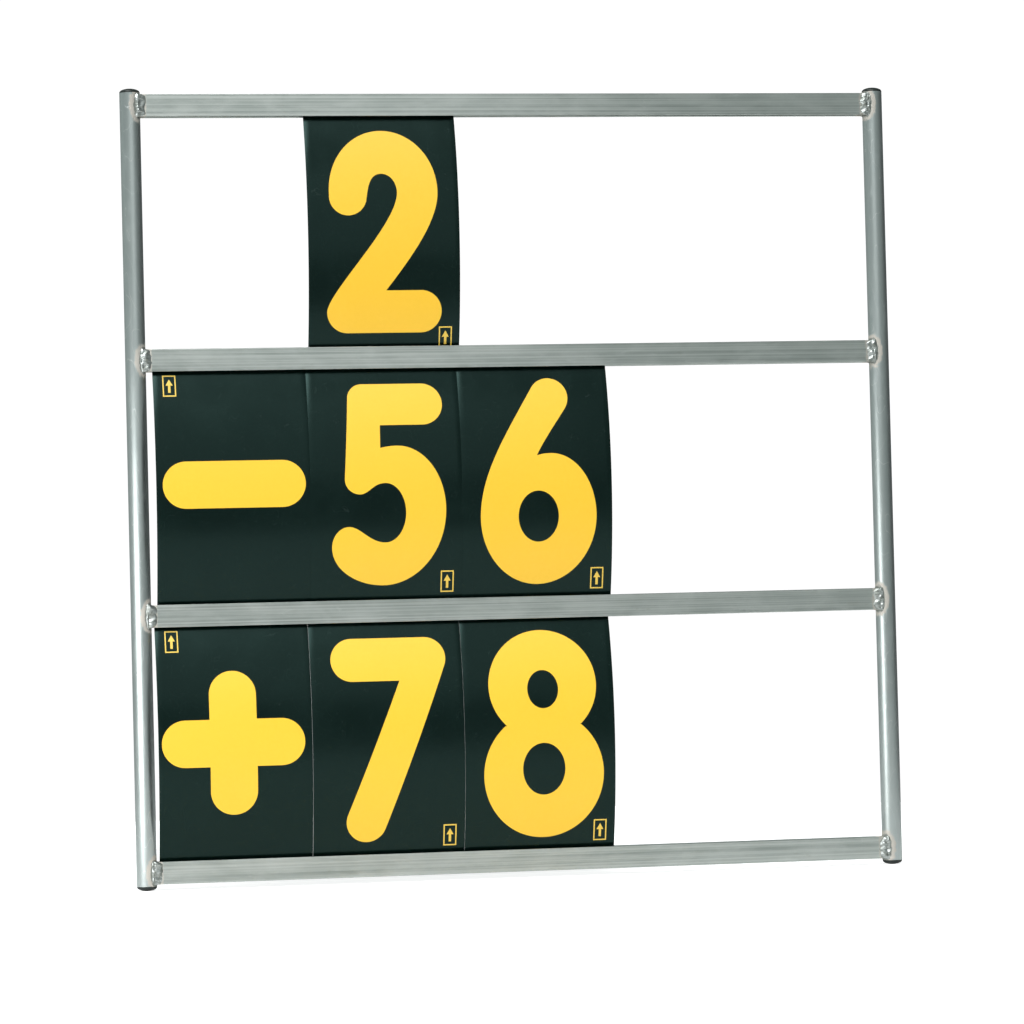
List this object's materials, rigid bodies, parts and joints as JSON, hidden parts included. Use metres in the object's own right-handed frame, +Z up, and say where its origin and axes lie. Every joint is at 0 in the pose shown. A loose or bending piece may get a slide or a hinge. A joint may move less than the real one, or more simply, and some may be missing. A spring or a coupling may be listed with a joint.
{
  "type": "motorsport pit board",
  "caption": "Flat signalling board: a welded aluminium frame of tube uprights and channel rails, holding bowed black cards with yellow figures that slide along the rails.",
  "frame": {"origin": "bottom centre of the whole board's box, with its cards in place; the frame's mid-plane lies 5.1 mm behind it", "axes": "+Z up along the uprights, +X to the right along the rails as the cards are read, cards facing -Y"},
  "size_m": [0.77, 0.0326, 0.7844],
  "materials": {
    "tube_aluminium": "drawn tube, satin mill finish with handling scratches",
    "rail_aluminium": "extruded, mill finish with lengthwise die lines",
    "weld_metal": "rippled bead with a pale etched edge",
    "cap_plastic": "moulded black, slightly rough",
    "card_plastic": "black sheet, satin gloss",
    "figure_film": "yellow self-adhesive film, satin",
    "mark_film": "yellow self-adhesive film, satin"
  },
  "bodies": {
    "frame": {"left_upright": "tube_aluminium", "right_upright": "tube_aluminium", "top_left_cap": "cap_plastic", "top_right_cap": "cap_plastic", "bottom_left_cap": "cap_plastic", "bottom_right_cap": "cap_plastic", "top_rail": "rail_aluminium", "upper_middle_rail": "rail_aluminium", "lower_middle_rail": "rail_aluminium", "bottom_rail": "rail_aluminium", "top_left_welds": "weld_metal", "top_right_welds": "weld_metal", "upper_middle_left_welds": "weld_metal", "upper_middle_right_welds": "weld_metal", "lower_middle_left_welds": "weld_metal", "lower_middle_right_welds": "weld_metal", "bottom_left_welds": "weld_metal", "bottom_right_welds": "weld_metal"},
    "two_plate": {"two_card": "card_plastic", "two_figure": "figure_film", "two_way_up_mark": "mark_film"},
    "minus_plate": {"minus_card": "card_plastic", "minus_figure": "figure_film", "minus_way_up_mark": "mark_film"},
    "five_plate": {"five_card": "card_plastic", "five_figure": "figure_film", "five_way_up_mark": "mark_film"},
    "six_plate": {"six_card": "card_plastic", "six_figure": "figure_film", "six_way_up_mark": "mark_film"},
    "plus_plate": {"plus_card": "card_plastic", "plus_figure": "figure_film", "plus_way_up_mark": "mark_film"},
    "seven_plate": {"seven_card": "card_plastic", "seven_figure": "figure_film", "seven_way_up_mark": "mark_film"},
    "eight_plate": {"eight_card": "card_plastic", "eight_figure": "figure_film", "eight_way_up_mark": "mark_film"}
  },
  "joints": [
    {"name": "two_slide", "type": "slide", "parent": "frame", "child": "two_plate", "axis": [1, 0, 0], "range_m": [-0.159, 0.418]},
    {"name": "minus_slide", "type": "slide", "parent": "frame", "child": "minus_plate", "axis": [1, 0, 0], "range_m": [-0.005, 0.09]},
    {"name": "five_slide", "type": "slide", "parent": "minus_plate", "child": "five_plate", "axis": [1, 0, 0], "range_m": [0, 0.09]},
    {"name": "six_slide", "type": "slide", "parent": "five_plate", "child": "six_plate", "axis": [1, 0, 0], "range_m": [0, 0.09]},
    {"name": "plus_slide", "type": "slide", "parent": "frame", "child": "plus_plate", "axis": [1, 0, 0], "range_m": [-0.001, 0.091]},
    {"name": "seven_slide", "type": "slide", "parent": "plus_plate", "child": "seven_plate", "axis": [1, 0, 0], "range_m": [0, 0.091]},
    {"name": "eight_slide", "type": "slide", "parent": "seven_plate", "child": "eight_plate", "axis": [1, 0, 0], "range_m": [0, 0.091]}
  ]
}
